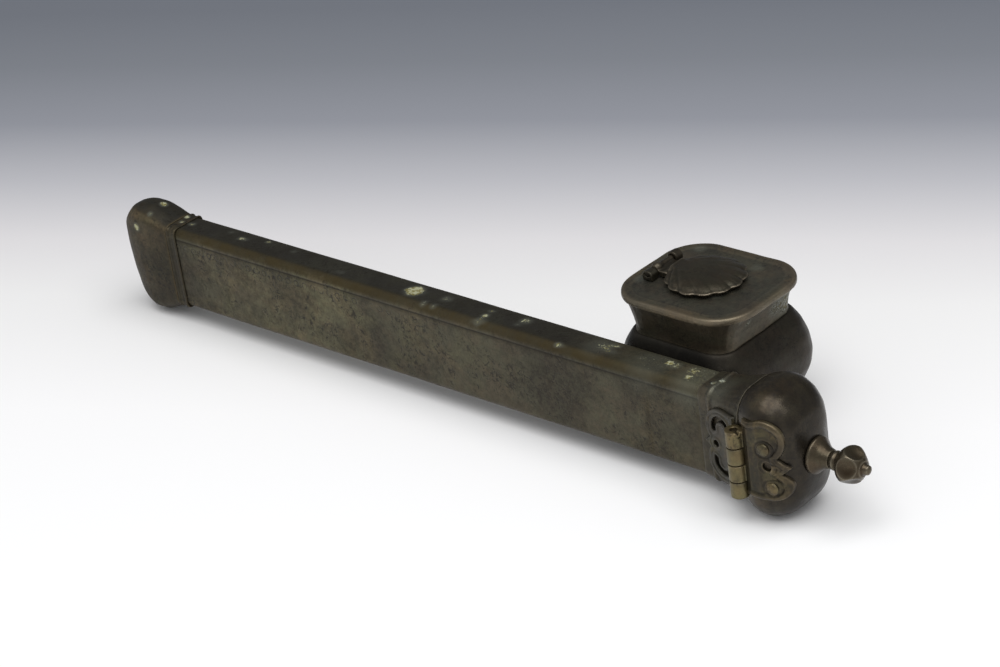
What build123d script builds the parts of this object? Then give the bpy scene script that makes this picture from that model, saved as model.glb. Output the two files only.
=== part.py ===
from build123d import *
import os
from math import cos, pi, radians, sin

# A brass pen case: a flat tube for reed pens, closed by a hinged domed cap,
# with an inkwell that is soldered to its rear side near the mouth.
# Sizes are in millimetres. +X runs along the tube to the cap, +Y to the side
# of the inkwell, and +Z is up. The origin is the middle of the inkwell's base,
# on the surface that the case rests on. Places along the tube are counted
# from the mouth line, where the tube meets the flared collar.

# Tube for the pens
barrel_z = 19.71
barrel_length = 212.6
barrel_height = 28.0
barrel_thickness = 12.4
barrel_edge_radius = 2.3
barrel_wall = 1.2
corner_steps = 5

# Foot: a cast shell that closes the far end, with a moulding in front of it
foot_length = 23.3
foot_height = 40.4
foot_thickness = 16.0
foot_wall = 1.5
foot_neck_proud = 0.5
foot_swell_reach = 0.78
foot_drop = 0.5
foot_dome_power = 3.4
foot_end_share = 0.985
foot_corner_share = 0.42
foot_socket_depth = 8.0
moulding_width = 4.2
moulding_proud = 0.3
rib_width = 1.1
rib_proud = 0.75
rib_chamfer = 0.3

# Flared collar round the mouth, and the lip that guides the cap
collar_length = 16.7
collar_start_proud = 0.35
seam_height = 36.2
seam_thickness = 20.6
seam_corner_share = 0.72
flare_power = 1.8
collar_rib_place = 3.7
collar_rib_width = 0.9
collar_rib_proud = 0.4
lip_wall = 0.8
lip_seat = 8.0
lip_reach = 3.0

# Domed cap
seam_gap = 0.3
cap_length = 17.8
cap_height = 40.2
cap_thickness = 25.2
cap_wall = 1.6
cap_swell_reach = 0.42
cap_dome_power = 2.9
cap_end_share = 0.985
cap_hollow_share = 0.87
cap_corner_share = 0.66

# Cap hinge: four knuckles on an upright pin at the front of the seam
hinge_offset = 12.5
hinge_drop = 1.0
knuckle_radius = 2.6
knuckle_height = 5.0
knuckle_gap = 0.3
knuckle_clearance = 0.3
hinge_pin_radius = 1.1
pin_clearance = 0.05
pin_head_radius = 1.6
pin_head_height = 0.6
leaf_thickness = 1.0
cap_lobes = ((7.9, 8.1, 6.2), (11.8, -4.7, 4.3))
cap_leaf_point = (15.4, 1.9)
cap_leaf_eye = (10.3, 1.5)
cap_rivets = ((9.6, 6.8), (11.2, -5.2))
barrel_lobes = ((-7.6, 6.1, 6.2), (-7.6, -4.5, 6.2))
barrel_leaf_point = (-14.6, 0.8)
barrel_leaf_eye = (-10.2, 0.8)
leaf_eye_radius = 1.0
slit_width = 1.6
slit_turn = 56.0
rivet_head_radius = 2.0
rivet_head_height = 0.9
rivet_sink = 0.3
rivet_shank_radius = 0.9
rivet_clearance = 0.03

# Finial on the cap's end
socket_base_radius = 5.4
socket_top_radius = 2.7
socket_plinth = 0.9
socket_length = 5.4
socket_power = 1.8
neck_radius = 2.4
neck_length = 2.1
bead_radius = 5.7
bead_half_length = 4.1
bead_facet_distance = 4.95
bead_facets = 6
bead_steps = 5
bead_end_angle = 24.0
bead_facet_lean = 14.0
tip_radius = 1.7
tip_reach = 4.6
tip_neck_radius = 1.3
finial_shank_radius = 1.2
finial_rivet_radius = 2.2
finial_rivet_height = 0.8

# Inkwell: base, pot, neck and top plate
inkwell_from_mouth = 22.9
plate_top = 44.6
plate_width = 45.2
plate_depth = 40.2
plate_corner = 12.4
plate_thickness = 2.0
plate_rim_chamfer = 0.6
ink_hole_radius = 6.5
waist_height = 32.8
waist_width = 34.6
waist_corner = 6.5
neck_flare_width = 42.2
neck_flare_depth = 38.2
neck_flare_corner = 10.5
neck_flare_power = 1.5
neck_wall = 1.6
crease_step = 0.7
crease_height = 0.9
pot_width = 45.8
pot_middle = 19.6
pot_foot_width = 27.0
pot_corner = 10.5
pot_wall = 1.6
base_thickness = 2.0
base_width = 29.0
base_corner = 9.0
base_chamfer = 0.5

# Saddle between the pot and the tube
saddle_thickness = 1.2
saddle_length = 22.0
saddle_height = 13.0
saddle_wing = 3.0

# Ink lid: a scallop shell on a pin between two ears
lid_radius = 11.3
lid_place = -0.6
lid_rise = 2.2
lid_rim_thickness = 1.1
lid_gap = 0.3
lid_scallops = 11
lid_lobe_steps = 4
lid_scallop_depth = 0.8
lid_fan = 152.0
lid_root_share = 0.93
lid_axis_offset = 15.6
ear_spread = 5.8
ear_shift = -1.0
ear_width = 3.0
ear_radius = 1.8
ear_gap = 0.3
lid_axis_height = 2.1
lid_pin_radius = 0.8
tongue_radius = 1.7

# Places that follow from the sizes
barrel_y = -(barrel_thickness / 2 + saddle_thickness + pot_width / 2)
mouth_x = inkwell_from_mouth
cap_start = collar_length + seam_gap
cap_end = cap_start + cap_length * cap_end_share
hinge_x = mouth_x + cap_start
hinge_y = barrel_y - hinge_offset
hinge_z = barrel_z - hinge_drop
stack_height = 4 * knuckle_height + 3 * knuckle_gap
foot_start = -barrel_length - moulding_width
lid_axis_x = -lid_axis_offset
lid_axis_z = plate_top + lid_axis_height


# Shapes that more than one piece uses

def along(place):
    """Plane across the tube's line, looking to the cap's end."""
    return Plane(origin=(mouth_x + place, barrel_y, barrel_z), x_dir=(0, 1, 0), z_dir=(1, 0, 0))


def grown(start, end, proud):
    """Bar with the tube's outline, standing proud of it all round."""
    outline = RectangleRounded(barrel_thickness + 2 * proud, barrel_height + 2 * proud,
                               barrel_edge_radius + proud)
    return extrude(along(start) * outline, end - start)


def ring(width, depth, radius):
    """Points of a rounded rectangle, each corner in a few straight steps."""
    points = []
    for quarter, (side, end) in enumerate(((1, 1), (-1, 1), (-1, -1), (1, -1))):
        for step in range(corner_steps + 1):
            turn = pi / 2 * (quarter + step / corner_steps)
            points.append(Vector(side * (width / 2 - radius) + radius * cos(turn),
                                 end * (depth / 2 - radius) + radius * sin(turn)))
    return points


def placed(plane, points):
    """Points of a ring, set on a plane."""
    return [plane.from_local_coords(point) for point in points]


def skin(rings):
    """Closed form through rings whose edges are parallel, so that each face is flat."""
    faces = [make_face(Polyline(*points, close=True)) for points in (rings[0], rings[-1])]
    for near, far in zip(rings, rings[1:]):
        for index, start in enumerate(near):
            after = (index + 1) % len(near)
            outline = Polyline(start, near[after], far[after], far[index], close=True)
            faces.append(make_face(outline))
    return Solid(Shell([face.face() for face in faces]))


def disc(radius, low, high, x, y):
    """Upright cylinder between two heights."""
    return Pos(x, y, low) * Cylinder(radius, high - low, align=(Align.CENTER, Align.CENTER, Align.MIN))


def swell(share, start, full, reach):
    """Size that grows from start to full over the first part of a length."""
    return start + (full - start) * sin(min(1.0, share / reach) * pi / 2)


def dome(share, power):
    """How far a rounded end has closed at a share of its length."""
    return (1 - share ** power) ** (1 / power)


# Tube, foot and moulding

def make_barrel():
    start = foot_start - foot_socket_depth
    outside = grown(start, collar_length, 0)
    return outside - grown(start, collar_length, -barrel_wall)


def foot_shape(shares, shrink):
    """Swelling, domed form of the foot, smaller all round by shrink."""
    rings = []
    for share in shares:
        close = dome(share, foot_dome_power)
        neck_thickness = barrel_thickness + 2 * foot_neck_proud
        neck_height = barrel_height + 2 * foot_neck_proud
        thickness = swell(share, neck_thickness, foot_thickness, foot_swell_reach) * close - 2 * shrink
        height = swell(share, neck_height, foot_height, foot_swell_reach) * close - 2 * shrink
        plane = along(foot_start - share * foot_length)
        plane.origin -= Vector(0, 0, swell(share, 0, foot_drop, foot_swell_reach))
        rings.append(placed(plane, ring(thickness, height, foot_corner_share * thickness / 2)))
    return skin(rings)


def make_foot_bulb():
    outside = foot_shape((0, 0.2, 0.4, 0.6, 0.76, 0.87, 0.94, foot_end_share), 0)
    hollow = foot_shape((0.2, 0.6, 0.8, 0.9), foot_wall)
    seat = grown(foot_start - foot_socket_depth, foot_start, rivet_clearance)
    return outside - hollow - seat


def make_foot_moulding():
    start = foot_start
    band = grown(start, -barrel_length, moulding_proud)
    for rib_start in (start, -barrel_length - rib_width):
        rib = grown(rib_start, rib_start + rib_width, rib_proud)
        band += chamfer(rib.edges().filter_by(Plane.YZ), rib_chamfer)
    return band - grown(start, -barrel_length, rivet_clearance)


# Mouth collar and lip

def collar_shape(proud):
    """Flaring form of the collar, standing proud of itself all round."""
    rings = []
    for share in (0, 0.3, 0.55, 0.8, 1.0):
        flare = share ** flare_power
        start_thickness = barrel_thickness + 2 * collar_start_proud
        start_height = barrel_height + 2 * collar_start_proud
        thickness = start_thickness + (seam_thickness - start_thickness) * flare + 2 * proud
        height = start_height + (seam_height - start_height) * flare + 2 * proud
        start_radius = barrel_edge_radius + collar_start_proud
        seam_radius = seam_corner_share * seam_thickness / 2
        radius = start_radius + (seam_radius - start_radius) * flare + proud
        rings.append(placed(along(share * collar_length), ring(thickness, height, radius)))
    return skin(rings)


def make_mouth_collar():
    share = (collar_rib_place + collar_rib_width) / collar_length
    proud = collar_start_proud + (seam_thickness - barrel_thickness) / 2 * share ** flare_power
    rib = grown(collar_rib_place, collar_rib_place + collar_rib_width, proud + collar_rib_proud)
    collar = collar_shape(0) + rib - grown(0, collar_length, rivet_clearance)
    return collar - knuckle_pocket()


def make_mouth_lip():
    outer = -barrel_wall - rivet_clearance
    start = collar_length - lip_seat
    end = collar_length + lip_reach
    return grown(start, end, outer) - grown(start, end, outer - lip_wall)


# Cap

def cap_shape(shares, proud):
    """Bulging, domed form of the cap, standing proud of itself all round."""
    rings = []
    for share in shares:
        close = dome(share, cap_dome_power)
        thickness = swell(share, seam_thickness, cap_thickness, cap_swell_reach) * close + 2 * proud
        height = swell(share, seam_height, cap_height, cap_swell_reach) * close + 2 * proud
        plane = along(cap_start + share * cap_length)
        rings.append(placed(plane, ring(thickness, height, cap_corner_share * thickness / 2)))
    return skin(rings)


def rivet_places():
    """Where the two rivets of the cap leaf stand, as X and Z."""
    return [(hinge_x + place, hinge_z + height) for place, height in cap_rivets]


def front_rod(x, z, radius):
    """Rod that runs to the front, from the middle of the cap."""
    plane = Plane(origin=(x, barrel_y, z), x_dir=(1, 0, 0), z_dir=(0, -1, 0))
    return extrude(plane * Circle(radius), cap_thickness)


hollow_shares = (0, 0.26, 0.64, cap_hollow_share)


def cap_outside(proud=0.0):
    return cap_shape((0, 0.12, 0.26, 0.44, 0.64, 0.8, 0.91, cap_end_share), proud)


def make_cap():
    hollow = cap_shape(hollow_shares, -cap_wall)
    cap = cap_outside() - hollow - knuckle_pocket()
    for x, z in rivet_places():
        cap -= front_rod(x, z, rivet_shank_radius + rivet_clearance)
    return cap - extrude(along(cap_start) * Circle(finial_shank_radius + rivet_clearance), cap_length)


# Cap hinge

def knuckle_pocket():
    """Space that the collar and the cap leave for the knuckles."""
    reach = knuckle_radius + knuckle_clearance
    half = stack_height / 2 + knuckle_gap
    return disc(reach, hinge_z - half, hinge_z + half, hinge_x, hinge_y)


def knuckle_low(index):
    """Underside of a knuckle, counted from the top of the stack."""
    top = hinge_z + stack_height / 2
    return top - (index + 1) * knuckle_height - index * knuckle_gap


def knuckles(indices, radius, spare=0.0):
    """Knuckles of the stack, joined with nothing between them."""
    group = Part()
    for index in indices:
        low = knuckle_low(index)
        group += disc(radius, low - spare, low + knuckle_height + spare, hinge_x, hinge_y)
    return group


def scalloped_outline(lobes, point, eye):
    """Two round lobes with a sharp point between them, to one side of the hinge line."""
    (high_place, high, high_radius), (low_place, low, low_radius) = lobes
    top = high + high_radius
    bottom = low - low_radius
    outline = make_face(Polyline((0, top), (high_place, top), (high_place, high), (low_place, low),
                                 (low_place, bottom), (0, bottom), close=True))
    outline += Pos(high_place, high) * Circle(high_radius)
    outline += Pos(low_place, low) * Circle(low_radius)
    outline += make_face(Polyline(point, (high_place, high), (low_place, low), close=True))
    return outline - Pos(*eye) * Circle(leaf_eye_radius)


def front_prism(outline):
    """Prism of an outline that is drawn round the hinge line, seen from the front."""
    plane = Plane(origin=(hinge_x, barrel_y, hinge_z), x_dir=(1, 0, 0), z_dir=(0, -1, 0))
    return extrude(plane * outline, cap_thickness)


def pin_space():
    """Bore for the hinge pin, and free space for its two heads."""
    space = disc(hinge_pin_radius + pin_clearance, 0, 2 * barrel_z, hinge_x, hinge_y)
    top = hinge_z + stack_height / 2
    space += disc(knuckle_radius + knuckle_clearance, top, 2 * barrel_z, hinge_x, hinge_y)
    return space + disc(knuckle_radius + knuckle_clearance, 0, top - stack_height, hinge_x, hinge_y)


def make_cap_hinge_leaf():
    outline = scalloped_outline(cap_lobes, cap_leaf_point, cap_leaf_eye)
    plate = (cap_outside(leaf_thickness) - cap_outside()) & front_prism(outline)
    leaf = plate + knuckles((0, 2), knuckle_radius)
    leaf -= knuckles((1, 3), knuckle_radius + knuckle_clearance, knuckle_gap)
    leaf -= cap_outside() - knuckle_pocket()
    for x, z in rivet_places():
        leaf -= front_rod(x, z, rivet_shank_radius + rivet_clearance)
    return leaf - pin_space()


def make_barrel_hinge_leaf():
    outline = scalloped_outline(barrel_lobes, barrel_leaf_point, barrel_leaf_eye)
    for place, height, radius in barrel_lobes:
        start = 90 - slit_turn if height > 0 else 270 - 2 * slit_turn
        arc = CenterArc((place, height), radius / 2, start, 3 * slit_turn)
        outline -= trace(arc, slit_width)
    plate = (collar_shape(leaf_thickness) - collar_shape(0)) & front_prism(outline)
    leaf = plate + knuckles((1, 3), knuckle_radius)
    leaf -= knuckles((0, 2), knuckle_radius + knuckle_clearance, knuckle_gap)
    return leaf - make_mouth_collar() - pin_space()


def make_cap_hinge_pin():
    low = knuckle_low(3)
    high = low + stack_height
    pin = disc(hinge_pin_radius, low, high, hinge_x, hinge_y)
    pin += disc(pin_head_radius, high, high + pin_head_height, hinge_x, hinge_y)
    return pin + disc(pin_head_radius, low - pin_head_height, low, hinge_x, hinge_y)


def make_cap_leaf_rivets():
    """Two rivets with low domed heads, that hold the leaf to the cap."""
    rivets = Part()
    dome_line = [(rivet_head_radius * cos(radians(turn)), rivet_head_height * sin(radians(turn)))
                 for turn in (0, 35, 65)]
    half_head = make_face(Polyline((0, -rivet_sink), (rivet_head_radius, -rivet_sink), *dome_line,
                                   (0, rivet_head_height), close=True))
    for x, z in rivet_places():
        share = (x - hinge_x) / cap_length
        close = dome(share, cap_dome_power)
        half = swell(share, seam_thickness, cap_thickness, cap_swell_reach) * close / 2
        front_y = barrel_y - half - leaf_thickness
        front = Plane(origin=(x, front_y, z), x_dir=(1, 0, 0), z_dir=(0, -1, 0))
        head = front * revolve(Plane.XZ * half_head, Axis.Z)
        shank = extrude(front * Circle(rivet_shank_radius), -cap_thickness / 2)
        rivets += (head - cap_outside(leaf_thickness)) + (shank - cap_shape(hollow_shares, -cap_wall))
    return rivets


# Finial

def make_finial_socket():
    """Flared cup: its radius falls quickly at first, then slowly to the neck."""
    profile = [(0, 0), (socket_base_radius, 0)]
    for share in (0, 0.3, 0.6, 1.0):
        radius = socket_top_radius + (socket_base_radius - socket_top_radius) * (1 - share) ** socket_power
        profile.append((radius, socket_plinth + (socket_length - socket_plinth) * share))
    profile.append((0, socket_length))
    outline = make_face(Polyline(*profile, close=True))
    socket = along(cap_end) * revolve(Plane.XZ * outline, Axis.Z)
    return socket - extrude(along(cap_end) * Circle(finial_shank_radius + rivet_clearance), socket_length)


def make_finial_knob():
    """Shank, neck, bead and ball tip in one turned piece; round flats lean to the tip."""
    bead_place = socket_length + neck_length + bead_half_length
    inside = cap_length * (cap_end_share - cap_hollow_share)
    profile = [(0, -inside - finial_rivet_height), (finial_rivet_radius, -inside - finial_rivet_height),
               (finial_rivet_radius, -inside), (finial_shank_radius, -inside),
               (finial_shank_radius, socket_length), (neck_radius, socket_length)]
    widest = 90 - bead_end_angle
    for step in range(bead_steps + 1):
        turn = radians(widest * (2 * step / bead_steps - 1))
        rise = bead_half_length * sin(turn) / sin(radians(widest))
        profile.append((bead_radius * cos(turn), bead_place + rise))
    tip_place = bead_place + tip_reach
    profile.append((tip_neck_radius, bead_place + bead_half_length))
    for turn in (-10, 40):
        profile.append((tip_radius * cos(radians(turn)), tip_place + tip_radius * sin(radians(turn))))
    profile.append((0, tip_place + tip_radius))
    knob = revolve(Plane.XZ * make_face(Polyline(*profile, close=True)), Axis.Z)
    for index in range(bead_facets):
        turn = Rot(0, 0, (index + 0.5) * 360 / bead_facets) * Rot(0, -bead_facet_lean, 0)
        block = Box(bead_radius, 3 * bead_radius, 2 * bead_half_length)
        knob -= Pos(0, 0, bead_place) * turn * Pos(bead_facet_distance + bead_radius / 2, 0, 0) * block
    return along(cap_end) * knob


# Inkwell

def level(height, width, depth, corner):
    """Level rounded rectangle round the inkwell's middle."""
    return Pos(0, 0, height) * RectangleRounded(width, depth, corner)


def pot_shape(shares, shrink):
    """Bulging form of the pot: a rounded square that swells to its middle."""
    rings = []
    for share in shares:
        height = base_thickness + (waist_height - base_thickness) * share
        side = waist_width + 2 * crease_step if height > pot_middle else pot_foot_width
        reach = waist_height - pot_middle if height > pot_middle else pot_middle - base_thickness
        fall = abs(height - pot_middle) / reach
        bulge = 1 - fall ** 2
        width = side + (pot_width - side) * bulge
        corner = waist_corner + (pot_corner - waist_corner) * bulge
        size = width - 2 * shrink
        rings.append(placed(Plane.XY.offset(height), ring(size, size, corner - shrink)))
    return skin(rings)


pot_shares = (0, 0.14, 0.28, 0.42, 0.57, 0.72, 0.87, 1.0)


def make_inkwell_base():
    base = extrude(level(0, base_width, base_width, base_corner), base_thickness)
    return chamfer(base.edges().group_by(Axis.Z)[0], base_chamfer)


def make_inkwell_body():
    return pot_shape(pot_shares, 0) - pot_shape((0, 0.28, 0.57, 0.87, 1.0), pot_wall)


def neck_shape():
    """Cove that flares from the waist to the underside of the plate."""
    high = plate_top - plate_thickness
    rings = []
    for share in (0, 0.4, 0.7, 1.0):
        flare = share ** neck_flare_power
        width = waist_width + (neck_flare_width - waist_width) * flare
        depth = waist_width + (neck_flare_depth - waist_width) * flare
        corner = waist_corner + (neck_flare_corner - waist_corner) * flare
        plane = Plane.XY.offset(waist_height + (high - waist_height) * share)
        rings.append(placed(plane, ring(width, depth, corner)))
    return skin(rings)


def make_inkwell_neck():
    inside = waist_width - 2 * neck_wall
    height = plate_top - plate_thickness - waist_height
    crease = extrude(level(waist_height, waist_width + 1, waist_width + 1, waist_corner), crease_height)
    hollow = extrude(level(waist_height, inside, inside, waist_corner - neck_wall), height)
    return neck_shape() + crease - hollow


def make_inkwell_top_plate():
    underside = plate_top - plate_thickness
    plate = extrude(level(underside, plate_width, plate_depth, plate_corner), plate_thickness)
    plate = chamfer(plate.edges().group_by(Axis.Z)[-1], plate_rim_chamfer)
    return plate - disc(ink_hole_radius, underside, plate_top, 0, 0)


def make_inkwell_saddle():
    front = barrel_y + barrel_thickness / 2
    depth = saddle_thickness + saddle_wing
    block = Pos(0, front + depth / 2, pot_middle) * Box(saddle_length, depth, saddle_height)
    return block - pot_shape(pot_shares, 0)


# Ink lid

def scallop_ring(share, height):
    """Scalloped rim of the shell, drawn in towards its root by a share of its size."""
    root = -lid_radius * lid_root_share
    points = []
    steps = lid_scallops * lid_lobe_steps
    for index in range(steps + 1):
        turn = radians(lid_fan * (2 * index / steps - 1))
        radius = lid_radius + lid_scallop_depth * abs(sin(pi * index / lid_lobe_steps))
        across = root + (radius * cos(turn) - root) * share
        points.append(Vector(lid_place + across, radius * sin(turn) * share, height))
    return points


def make_ink_lid():
    """Domed shell of ribs that spread from its root, with a tongue for the pin."""
    low = plate_top + lid_gap
    rings = [scallop_ring(1.0, low)]
    for fall in (1.0, 0.85, 0.62, 0.35):
        rings.append(scallop_ring(fall, low + lid_rim_thickness + lid_rise * (1 - fall ** 2)))
    shell = skin(rings)
    width = 2 * (ear_spread - ear_width / 2 - ear_gap)
    tongue = Pos(lid_axis_x, ear_shift, lid_axis_z) * (Rot(90, 0, 0) * Cylinder(tongue_radius, width))
    web_length = lid_axis_offset - lid_radius * 0.7
    web = Box(web_length, width, tongue_radius)
    tongue += Pos(lid_axis_x + web_length / 2, ear_shift, low + tongue_radius / 2) * web
    bore = Rot(90, 0, 0) * Cylinder(lid_pin_radius + pin_clearance, 2 * width)
    return shell + tongue - Pos(lid_axis_x, ear_shift, lid_axis_z) * bore


def make_lid_hinge_ears():
    ears = Part()
    for side in (1, -1):
        middle = ear_shift + side * ear_spread
        ear = Pos(lid_axis_x, middle, lid_axis_z) * (Rot(90, 0, 0) * Cylinder(ear_radius, ear_width))
        ear += Pos(lid_axis_x, middle, plate_top + lid_axis_height / 2) * Box(
            2 * ear_radius, ear_width, lid_axis_height)
        ears += ear - Pos(lid_axis_x, middle, lid_axis_z) * (
            Rot(90, 0, 0) * Cylinder(lid_pin_radius + pin_clearance, 2 * ear_width))
    return ears


def make_lid_hinge_pin():
    length = 2 * ear_spread + ear_width
    return Pos(lid_axis_x, ear_shift, lid_axis_z) * (Rot(90, 0, 0) * Cylinder(lid_pin_radius, length))


pieces = {
    "barrel": make_barrel,
    "foot_bulb": make_foot_bulb,
    "foot_moulding": make_foot_moulding,
    "mouth_collar": make_mouth_collar,
    "mouth_lip": make_mouth_lip,
    "cap": make_cap,
    "cap_hinge_leaf": make_cap_hinge_leaf,
    "barrel_hinge_leaf": make_barrel_hinge_leaf,
    "cap_hinge_pin": make_cap_hinge_pin,
    "cap_leaf_rivets": make_cap_leaf_rivets,
    "finial_socket": make_finial_socket,
    "finial_knob": make_finial_knob,
    "inkwell_base": make_inkwell_base,
    "inkwell_body": make_inkwell_body,
    "inkwell_neck": make_inkwell_neck,
    "inkwell_top_plate": make_inkwell_top_plate,
    "inkwell_saddle": make_inkwell_saddle,
    "ink_lid": make_ink_lid,
    "lid_hinge_ears": make_lid_hinge_ears,
    "lid_hinge_pin": make_lid_hinge_pin,
}

os.makedirs("parts", exist_ok=True)
for name, make in pieces.items():
    export_step(make(), f"parts/{name}.step")
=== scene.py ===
import math
import bmesh
import bpy
import numpy as np
from mathutils import Matrix, Vector, kdtree


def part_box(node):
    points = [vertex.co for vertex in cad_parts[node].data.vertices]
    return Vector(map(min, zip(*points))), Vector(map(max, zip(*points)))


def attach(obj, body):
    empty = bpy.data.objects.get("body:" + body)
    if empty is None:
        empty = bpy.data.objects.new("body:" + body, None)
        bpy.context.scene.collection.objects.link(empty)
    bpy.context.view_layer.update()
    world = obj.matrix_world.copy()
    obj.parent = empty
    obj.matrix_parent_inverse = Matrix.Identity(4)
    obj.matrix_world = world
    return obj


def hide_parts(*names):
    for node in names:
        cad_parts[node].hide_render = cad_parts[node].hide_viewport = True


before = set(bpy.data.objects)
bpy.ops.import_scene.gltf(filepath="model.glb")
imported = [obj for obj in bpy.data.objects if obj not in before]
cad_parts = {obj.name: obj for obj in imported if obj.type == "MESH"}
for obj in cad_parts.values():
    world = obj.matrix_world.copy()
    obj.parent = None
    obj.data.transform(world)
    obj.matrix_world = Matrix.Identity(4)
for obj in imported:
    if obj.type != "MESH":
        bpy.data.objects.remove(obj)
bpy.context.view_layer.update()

# The photograph's view
# A long lens looks down on the case from the cap's front corner. In the photograph the
# case leans a little on its lower edge; here it lies flat, so the camera leans instead.
sight_right = Vector((0.7435, 0.6561, -0.1298))
sight_up = Vector((-0.2256, 0.4287, 0.8748))
sight_back = Vector((0.6296, -0.6211, 0.4667))
eye = Vector((0.4789, -0.5579, 0.4242))
focal_pixels = 2900.0
photo_width = 1000.0
photo_middle = (500.0, 333.5)

camera_data = bpy.data.cameras.new("photo_camera")
camera_data.sensor_width = 36.0
camera_data.lens = focal_pixels * camera_data.sensor_width / photo_width
camera = bpy.data.objects.new("photo_camera", camera_data)
bpy.context.scene.collection.objects.link(camera)
turn = Matrix((sight_right, sight_up, sight_back)).transposed().to_4x4()
camera.matrix_world = Matrix.Translation(eye) @ turn
bpy.context.scene.camera = camera


def sight(u, v):
    """Direction in which the camera sees a pixel of the photograph."""
    across = sight_right * (u - photo_middle[0]) - sight_up * (v - photo_middle[1])
    return (across - sight_back * focal_pixels).normalized()


def on_table(u, v):
    """The point of the table that a pixel of the photograph shows."""
    ray = sight(u, v)
    return eye - ray * (eye.z / ray.z)


# The table
# One pale sheet runs under and behind the case. Its colour is painted white in front
# and darker to a blue grey at the back, a painted shade of the far paper. It is plain
# matt paper and keeps the case's soft shadow.
# Its tones are listed by the rows of pixels where they are seen.
middle_column = 500
near_row = 560
far_row = 5
level_row = 200
paper_shade_tones = ((near_row, (0.99, 0.99, 0.99)), (420, (0.97, 0.965, 0.965)), (300, (0.87, 0.865, 0.86)),
               (240, (0.75, 0.735, 0.745)), (180, (0.515, 0.515, 0.545)), (120, (0.3, 0.31, 0.346)),
               (60, (0.222, 0.235, 0.263)), (far_row, (0.181, 0.194, 0.222)))


def join(tree, start, end):
    """Links one node's output to another's input."""
    tree.links.new(start, end)


def add_node(tree, kind, **values):
    """A new node; values set its own properties or, by name, its inputs."""
    node = tree.nodes.new(kind)
    for name, value in values.items():
        if hasattr(node, name):
            setattr(node, name, value)
        else:
            node.inputs[name.replace("_", " ")].default_value = value
    return node


bpy.ops.object.select_all(action="DESELECT")
bpy.ops.mesh.primitive_plane_add(size=8.0, location=(0, 0, 0))
table = bpy.context.object
table.name = "table_sheet"
level_line = on_table(photo_width, level_row) - on_table(0, level_row)
away = Vector((-level_line.y, level_line.x, 0)).normalized()
near = on_table(middle_column, near_row).dot(away)
far = on_table(middle_column, far_row).dot(away)
paper = bpy.data.materials.new("matt_paper")
paper.use_nodes = True
tree = paper.node_tree
tree.nodes.clear()
place = add_node(tree, "ShaderNodeTexCoord")
slide = add_node(tree, "ShaderNodeVectorMath", operation="DOT_PRODUCT")
slide.inputs[1].default_value = away
share = add_node(tree, "ShaderNodeMapRange")
share.inputs["From Min"].default_value = near
share.inputs["From Max"].default_value = far
tones = add_node(tree, "ShaderNodeValToRGB")
ramp = tones.color_ramp
for index, (row, tone) in enumerate(paper_shade_tones):
    at = (on_table(middle_column, row).dot(away) - near) / (far - near)
    if index == 0:
        stop = ramp.elements[0]
    elif index == len(paper_shade_tones) - 1:
        stop = ramp.elements[len(ramp.elements) - 1]
    else:
        stop = ramp.elements.new(at)
    stop.position = at
    stop.color = (*tone, 1)
matt = add_node(tree, "ShaderNodeBsdfDiffuse")
result = add_node(tree, "ShaderNodeOutputMaterial")
join(tree, place.outputs["Object"], slide.inputs[0])
join(tree, slide.outputs["Value"], share.inputs["Value"])
join(tree, share.outputs["Result"], tones.inputs["Fac"])
join(tree, tones.outputs["Color"], matt.inputs["Color"])
join(tree, matt.outputs["BSDF"], result.inputs["Surface"])
table.data.materials.append(paper)

# The light
# One soft box hangs over the table, a little in front of the case and towards its cap, and
# the pale room fills in. The room is dim behind the table, where the case's tops mirror it.
world = bpy.data.worlds.new("studio_room")
bpy.context.scene.world = world
world.use_nodes = True
room_colour = (0.97, 0.98, 1.0, 1)
room_light = 0.6
dim_share = 0.3
dim_from = 0.1
dim_to = 0.65
tree = world.node_tree
glow = tree.nodes["Background"]
glow.inputs["Color"].default_value = room_colour
heading = add_node(tree, "ShaderNodeTexCoord")
toward = add_node(tree, "ShaderNodeVectorMath", operation="DOT_PRODUCT")
toward.inputs[1].default_value = away
strength = add_node(tree, "ShaderNodeMapRange", interpolation_type="SMOOTHSTEP")
strength.inputs["From Min"].default_value = dim_from
strength.inputs["From Max"].default_value = dim_to
strength.inputs["To Min"].default_value = room_light
strength.inputs["To Max"].default_value = room_light * dim_share
join(tree, heading.outputs["Generated"], toward.inputs[0])
join(tree, toward.outputs["Value"], strength.inputs["Value"])
join(tree, strength.outputs["Result"], glow.inputs["Strength"])
lamp_place = Vector((0.45, -0.3, 1.6))
lamp_aim = Vector((0, -0.03, 0.02))
lamp_data = bpy.data.lights.new("lamp_overhead", "AREA")
lamp_data.shape = "RECTANGLE"
lamp_data.size = 1.9
lamp_data.size_y = 1.5
lamp_data.energy = 22.0
lamp = bpy.data.objects.new("lamp_overhead", lamp_data)
bpy.context.scene.collection.objects.link(lamp)
lamp.location = lamp_place
lamp.rotation_euler = (lamp_aim - lamp_place).to_track_quat("-Z", "Y").to_euler()


# Barrel
# A long flat tube of sheet brass for the reed pens, its edges hammered round and rubbed
# by hands. Under its top edge a line is scribed over a row of small engraved rings, worn
# away towards the mouth, where two bright lines run across.
mix_share = 0
mix_first = 6
mix_second = 7
mix_colour = 2


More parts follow.
